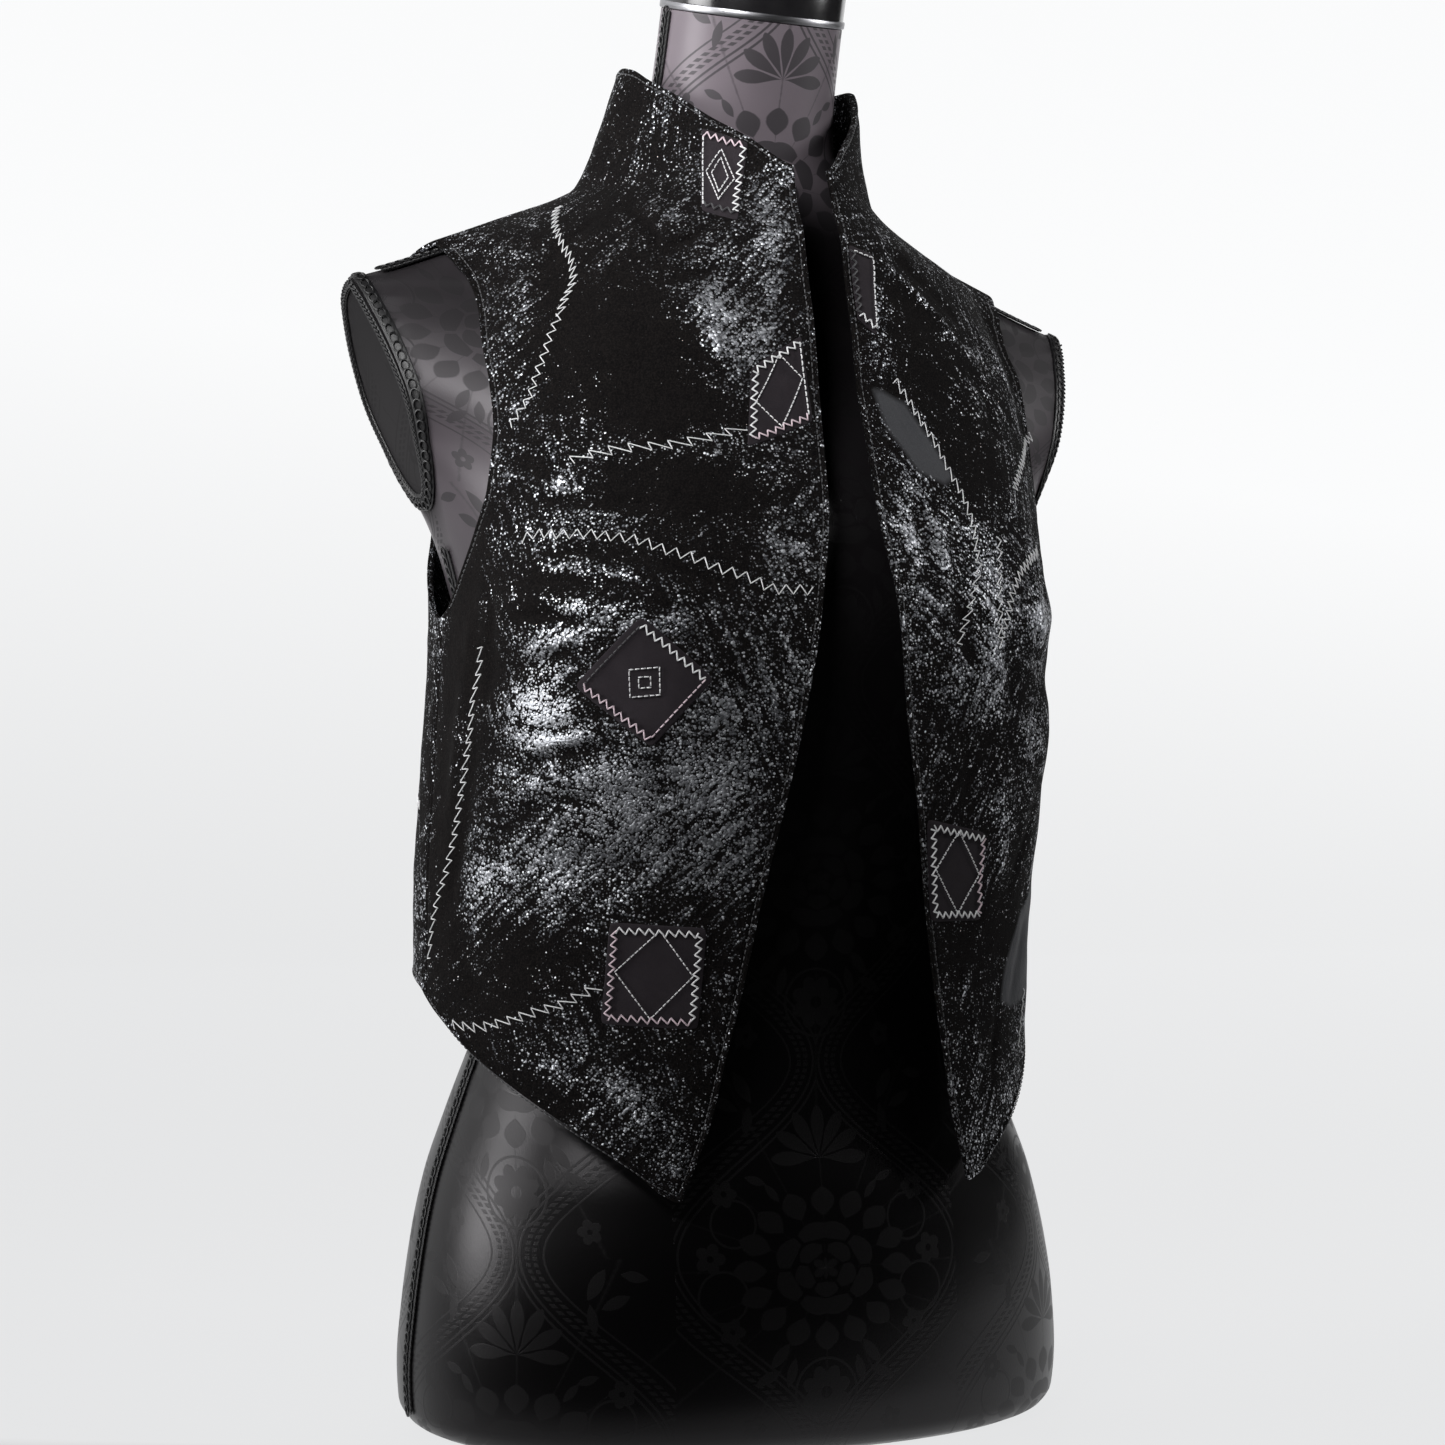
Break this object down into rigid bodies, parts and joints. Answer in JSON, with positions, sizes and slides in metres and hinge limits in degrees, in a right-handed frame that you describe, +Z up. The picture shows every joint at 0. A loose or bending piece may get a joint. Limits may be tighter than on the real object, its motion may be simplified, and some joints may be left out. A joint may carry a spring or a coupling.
{
  "type": "vest and dress form",
  "caption": "Open-fronted faux leather vest with a stand-up collar and sewn-on patches, shown on a limbless padded dress form with gimp braid and a turned neck cap.",
  "frame": {"origin": "middle of the form's flat base", "axes": "+Z up, the front faces -Y, and the wearer's right is -X"},
  "size_m": [0.4045, 0.255, 0.7304],
  "materials": {
    "vest_suede": "black faux suede with rubbed silver-blue foil specks",
    "patch_suede": "matte purplish-grey suede",
    "form_satin": "charcoal satin damask",
    "gimp_braid": "black looped gimp with a silky sheen",
    "cap_gloss": "black gloss with a brushed metallic rim"
  },
  "bodies": {
    "root": {"dress_form": "form_satin", "neck_cap": "cap_gloss", "braid_side_right": "gimp_braid", "braid_side_left": "gimp_braid", "braid_shoulder_right": "gimp_braid", "braid_shoulder_left": "gimp_braid", "braid_arm_right": "gimp_braid", "braid_arm_left": "gimp_braid", "vest_front_right": "vest_suede", "vest_front_left": "vest_suede", "vest_back": "vest_suede", "patch_collar_right": "patch_suede", "patch_chest_right": "patch_suede", "patch_waist_right": "patch_suede", "patch_hem_right": "patch_suede", "patch_collar_left": "patch_suede", "patch_waist_left": "patch_suede"}
  },
  "joints": []
}
